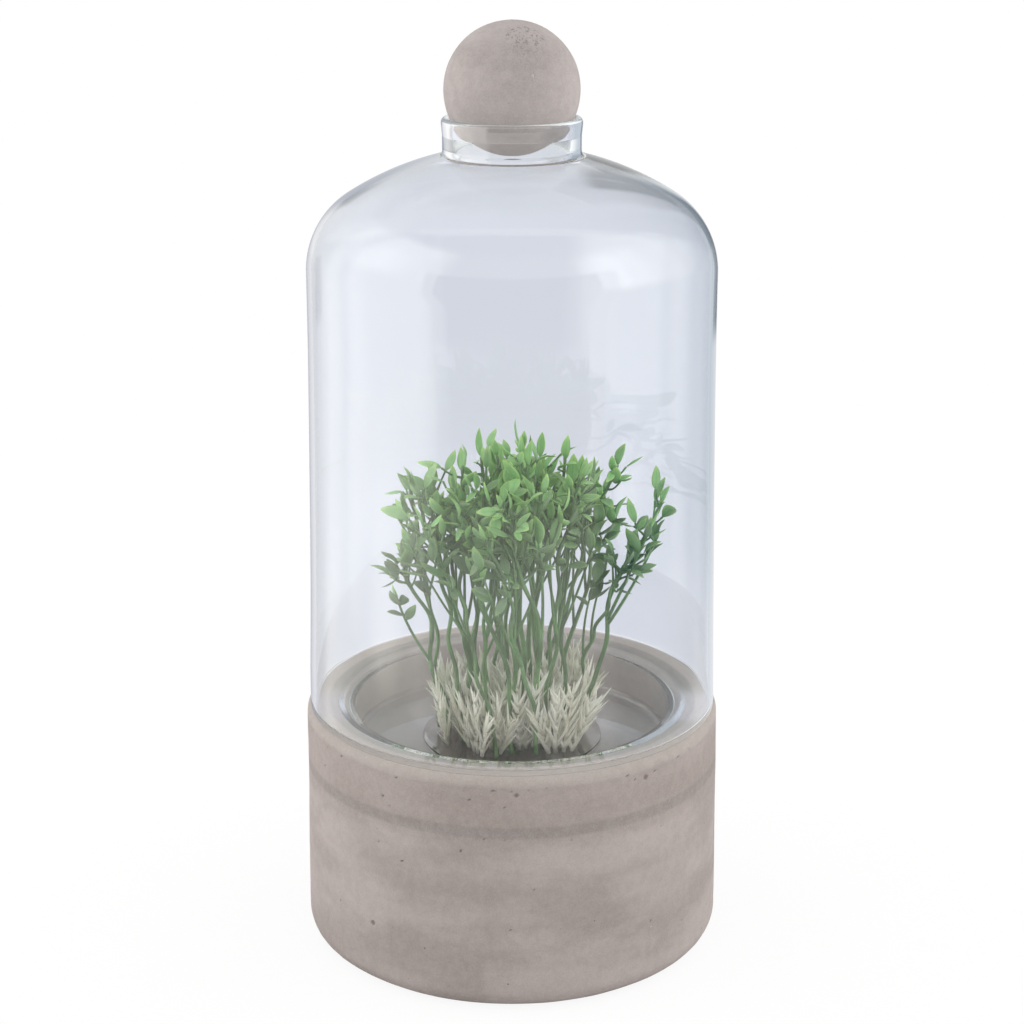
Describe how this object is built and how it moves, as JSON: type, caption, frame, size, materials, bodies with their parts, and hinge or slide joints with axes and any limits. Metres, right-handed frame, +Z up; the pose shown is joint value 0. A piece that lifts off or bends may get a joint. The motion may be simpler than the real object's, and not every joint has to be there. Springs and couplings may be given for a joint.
{
  "type": "bottle terrarium",
  "caption": "Tall domed glass bottle whose sunk foot nests in a round cast concrete base, with a concrete ball as its stopper and a moulded cress plant inside.",
  "frame": {"origin": "middle of the underside of the concrete base, on the surface that it stands on", "axes": "+Z up along the bottle's axis, -Y towards the side that the picture shows"},
  "size_m": [0.2028, 0.2028, 0.4415],
  "materials": {
    "base_concrete": "matt",
    "clear_glass": "gloss",
    "ball_concrete": "matt",
    "clear_disc": "gloss",
    "green_plastic": "satin",
    "cream_plastic": "satin"
  },
  "bodies": {
    "base": {"concrete_base": "base_concrete"},
    "bottle": {"glass_bottle": "clear_glass"},
    "stopper": {"ball_stopper": "ball_concrete"},
    "plant": {"plant_disc": "clear_disc", "cress_sprig_01": "green_plastic", "cress_sprig_02": "green_plastic", "cress_sprig_03": "green_plastic", "cress_sprig_04": "green_plastic", "cress_sprig_05": "green_plastic", "cress_sprig_06": "green_plastic", "cress_sprig_07": "green_plastic", "cress_sprig_08": "green_plastic", "cress_sprig_09": "green_plastic", "cress_sprig_10": "green_plastic", "cress_sprig_11": "green_plastic", "cress_sprig_12": "green_plastic", "cress_sprig_13": "green_plastic", "cress_sprig_14": "green_plastic", "cress_sprig_15": "green_plastic", "cress_sprig_16": "green_plastic", "cress_sprig_17": "green_plastic", "cress_sprig_18": "green_plastic", "cress_sprig_19": "green_plastic", "cress_sprig_20": "green_plastic", "cress_sprig_21": "green_plastic", "cress_sprig_22": "green_plastic", "cress_sprig_23": "green_plastic", "cress_sprig_24": "green_plastic", "cress_sprig_25": "green_plastic", "cress_sprig_26": "green_plastic", "cress_sprig_27": "green_plastic", "cress_sprig_28": "green_plastic", "cress_sprig_29": "green_plastic", "cress_sprig_30": "green_plastic", "root_spray_01": "cream_plastic", "root_spray_02": "cream_plastic", "root_spray_03": "cream_plastic", "root_spray_04": "cream_plastic", "root_spray_05": "cream_plastic", "root_spray_06": "cream_plastic", "root_spray_07": "cream_plastic", "root_spray_08": "cream_plastic", "root_spray_09": "cream_plastic", "root_spray_10": "cream_plastic", "root_spray_11": "cream_plastic", "root_spray_12": "cream_plastic", "root_spray_13": "cream_plastic", "root_spray_14": "cream_plastic", "root_spray_15": "cream_plastic", "root_spray_16": "cream_plastic", "root_spray_17": "cream_plastic", "root_spray_18": "cream_plastic", "root_spray_19": "cream_plastic", "root_spray_20": "cream_plastic", "root_spray_21": "cream_plastic", "root_spray_22": "cream_plastic", "root_spray_23": "cream_plastic", "root_spray_24": "cream_plastic"}
  },
  "joints": [
    {"name": "bottle_lift", "type": "slide", "parent": "base", "child": "bottle", "axis": [0, 0, 1], "range_m": [0, 0.08]},
    {"name": "stopper_lift", "type": "slide", "parent": "bottle", "child": "stopper", "axis": [0, 0, 1], "range_m": [0, 0.1]},
    {"name": "plant_lift", "type": "slide", "parent": "bottle", "child": "plant", "axis": [0, 0, 1], "range_m": [0, 0.1]}
  ]
}
